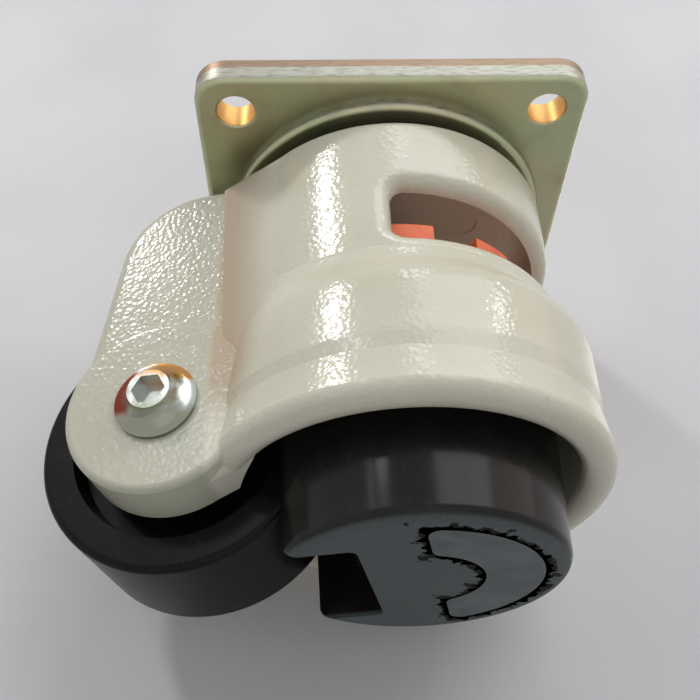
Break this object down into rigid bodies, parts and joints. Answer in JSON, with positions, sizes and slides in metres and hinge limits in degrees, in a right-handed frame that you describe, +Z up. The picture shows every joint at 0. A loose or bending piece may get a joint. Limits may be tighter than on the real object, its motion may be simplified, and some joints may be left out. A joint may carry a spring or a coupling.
{
  "type": "levelling castor",
  "caption": "Swivel castor with a square bolt-on plate, a forked cream housing, a small black wheel and a dial-driven levelling foot.",
  "frame": {"origin": "Centre of the top plate's upper, mounting face.", "axes": "Z up, out of the mounting face and along the swivel axis. X and Y along the plate's sides. At rest the housing is turned -11 degrees about Z, with the foot on the +X side and the wheel on the -X side."},
  "size_m": [0.0996, 0.0738, 0.0855],
  "materials": {
    "zinc_plate": "yellowish passivated zinc plating",
    "plain_steel": "plain turned steel",
    "ball_steel": "polished",
    "bright_zinc": "bright zinc plating",
    "housing_coat": "cream glossy textured powder coat",
    "wheel_nylon": "smooth black moulded nylon",
    "foot_nylon": "black moulded nylon",
    "tread_rubber": "satin black rubber",
    "dial_plastic": "orange-red moulded plastic",
    "insert_brass": "machined",
    "washer_plastic": "natural low-friction plastic",
    "seal_rubber": "matt"
  },
  "bodies": {
    "plate": {"top_plate": "zinc_plate", "kingpin": "plain_steel", "kingpin_washer": "plain_steel", "dust_seal": "seal_rubber"},
    "ball_ring": {"swivel_balls": "ball_steel"},
    "housing": {"housing": "housing_coat", "lower_race": "plain_steel", "axle_bolt": "bright_zinc", "axle_sleeve": "plain_steel", "axle_washers": "washer_plastic", "lock_washer": "bright_zinc", "lock_nut": "bright_zinc", "dial_washer": "washer_plastic", "insert_washer": "washer_plastic"},
    "wheel": {"wheel": "wheel_nylon", "wheel_bush": "insert_brass"},
    "dial": {"dial": "dial_plastic", "dial_insert": "insert_brass"},
    "foot": {"foot": "foot_nylon", "foot_tread": "tread_rubber", "stem": "plain_steel"}
  },
  "joints": [
    {"name": "swivel", "type": "hinge", "parent": "plate", "child": "housing", "pos_m": [0, 0, 0], "axis": [0, 0, 1], "continuous": true},
    {"name": "ball_ring_turn", "type": "hinge", "parent": "plate", "child": "ball_ring", "pos_m": [0, 0, 0], "axis": [0, 0, 1], "continuous": true},
    {"name": "wheel_spin", "type": "hinge", "parent": "housing", "child": "wheel", "pos_m": [-0.03662, 0.00712, -0.0595], "axis": [0.1908, 0.9816, 0], "continuous": true},
    {"name": "dial_turn", "type": "hinge", "parent": "housing", "child": "dial", "pos_m": [0, 0, 0], "axis": [0, 0, 1], "range_deg": [-1260.2, 720.2]},
    {"name": "foot_lift", "type": "slide", "parent": "housing", "child": "foot", "axis": [0, 0, 1], "range_m": [-0.004, 0.007]}
  ],
  "couplings": [
    {"joint": "ball_ring_turn", "follows": "swivel", "ratio": 0.5},
    {"joint": "dial_turn", "follows": "foot_lift", "rad_per_m": -3141.6}
  ]
}
